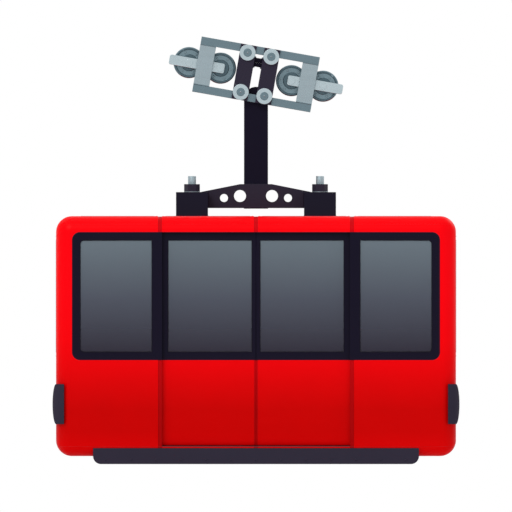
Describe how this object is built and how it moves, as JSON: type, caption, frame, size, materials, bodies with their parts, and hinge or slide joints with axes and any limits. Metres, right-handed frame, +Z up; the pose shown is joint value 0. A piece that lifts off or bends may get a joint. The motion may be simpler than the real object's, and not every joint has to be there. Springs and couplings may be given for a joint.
{
  "type": "cable car cabin",
  "caption": "Aerial cable car: closed cabin with paired sliding doors on a hanger that swings under a rope carriage with rocker-mounted wheels.",
  "frame": {"origin": "on the track rope's centre line, above the middle of the cabin", "axes": "+X along the ropes' run seen from above, towards their lower end, +Y into the cabin's back, +Z up"},
  "size_m": [4.07, 2.2136, 4.2768],
  "materials": {
    "red_paint": "satin coach paint",
    "window_trim": "black glazing border",
    "tinted_glass": "grey tinted glass",
    "black_paint": "satin structural paint",
    "charcoal_paint": "satin structural paint",
    "bumper_rubber": "moulded rubber",
    "frame_steel": "grey-blue paint",
    "light_steel": "brushed",
    "bright_steel": "brushed",
    "pin_steel": "turned",
    "floor_rubber": "studded mat",
    "bench_shell": "moulded shell",
    "rail_steel": "polished tube",
    "track_alloy": "anodised extrusion"
  },
  "bodies": {
    "carriage": {"carriage_rails": "frame_steel", "carriage_uprights": "light_steel", "carriage_links": "charcoal_paint", "carriage_ties": "pin_steel", "link_pins": "pin_steel", "link_pin_rings": "bright_steel", "rocker_pins": "pin_steel", "rope_clamp": "black_paint", "hanger_pin": "pin_steel"},
    "rocker_left": {"rocker_left_beams": "bright_steel", "rocker_left_axles": "pin_steel"},
    "rocker_right": {"rocker_right_beams": "bright_steel", "rocker_right_axles": "pin_steel"},
    "wheel_left_inner": {"wheel_left_inner_core": "pin_steel", "wheel_left_inner_flanges": "frame_steel"},
    "wheel_left_outer": {"wheel_left_outer_core": "pin_steel", "wheel_left_outer_flanges": "frame_steel"},
    "wheel_right_inner": {"wheel_right_inner_core": "pin_steel", "wheel_right_inner_flanges": "frame_steel"},
    "wheel_right_outer": {"wheel_right_outer_core": "pin_steel", "wheel_right_outer_flanges": "frame_steel"},
    "cabin": {"hanger_arm": "black_paint", "hanger_beams": "charcoal_paint", "roof_mounts": "black_paint", "roof_studs": "light_steel", "roof_nuts": "charcoal_paint", "roof_left": "red_paint", "roof_middle": "red_paint", "roof_right": "red_paint", "door_lintels": "red_paint", "end_headers": "red_paint", "end_left": "red_paint", "end_right": "red_paint", "door_jambs": "red_paint", "floor_pan": "red_paint", "window_frames": "window_trim", "window_glass": "tinted_glass", "door_headers": "track_alloy", "door_sills": "track_alloy", "skid": "charcoal_paint", "bumpers": "bumper_rubber", "floor_mat": "floor_rubber", "benches": "bench_shell", "grab_poles": "rail_steel", "grab_rails": "rail_steel"},
    "door_front_left": {"door_front_left_panel": "red_paint", "door_front_left_frame": "window_trim", "door_front_left_glass": "tinted_glass"},
    "door_front_right": {"door_front_right_panel": "red_paint", "door_front_right_frame": "window_trim", "door_front_right_glass": "tinted_glass"},
    "door_back_left": {"door_back_left_panel": "red_paint", "door_back_left_frame": "window_trim", "door_back_left_glass": "tinted_glass"},
    "door_back_right": {"door_back_right_panel": "red_paint", "door_back_right_frame": "window_trim", "door_back_right_glass": "tinted_glass"}
  },
  "joints": [
    {"name": "hanger_swing", "type": "hinge", "parent": "carriage", "child": "cabin", "pos_m": [0, 0, -0.12185], "axis": [0, 1, 0], "range_deg": [-25, 45]},
    {"name": "rocker_left_tilt", "type": "hinge", "parent": "carriage", "child": "rocker_left", "pos_m": [-0.5121, 0, 0.21215], "axis": [0, 1, 0], "range_deg": [-8, 8]},
    {"name": "rocker_right_tilt", "type": "hinge", "parent": "carriage", "child": "rocker_right", "pos_m": [0.5121, 0, 0.03155], "axis": [0, 1, 0], "range_deg": [-8, 8]},
    {"name": "wheel_left_inner_spin", "type": "hinge", "parent": "rocker_left", "child": "wheel_left_inner", "pos_m": [-0.35453, 0, 0.18437], "axis": [0, 1, 0], "continuous": true},
    {"name": "wheel_left_outer_spin", "type": "hinge", "parent": "rocker_left", "child": "wheel_left_outer", "pos_m": [-0.66967, 0, 0.23993], "axis": [0, 1, 0], "continuous": true},
    {"name": "wheel_right_inner_spin", "type": "hinge", "parent": "rocker_right", "child": "wheel_right_inner", "pos_m": [0.35453, 0, 0.05934], "axis": [0, 1, 0], "continuous": true},
    {"name": "wheel_right_outer_spin", "type": "hinge", "parent": "rocker_right", "child": "wheel_right_outer", "pos_m": [0.66967, 0, 0.00377], "axis": [0, 1, 0], "continuous": true},
    {"name": "door_front_left_slide", "type": "slide", "parent": "cabin", "child": "door_front_left", "axis": [-1, 0, 0], "range_m": [0, 0.85]},
    {"name": "door_front_right_slide", "type": "slide", "parent": "cabin", "child": "door_front_right", "axis": [1, 0, 0], "range_m": [0, 0.85]},
    {"name": "door_back_left_slide", "type": "slide", "parent": "cabin", "child": "door_back_left", "axis": [-1, 0, 0], "range_m": [0, 0.85]},
    {"name": "door_back_right_slide", "type": "slide", "parent": "cabin", "child": "door_back_right", "axis": [1, 0, 0], "range_m": [0, 0.85]}
  ],
  "couplings": [
    {"joint": "door_front_left_slide", "follows": "door_front_right_slide", "ratio": 1},
    {"joint": "door_back_left_slide", "follows": "door_back_right_slide", "ratio": 1}
  ]
}
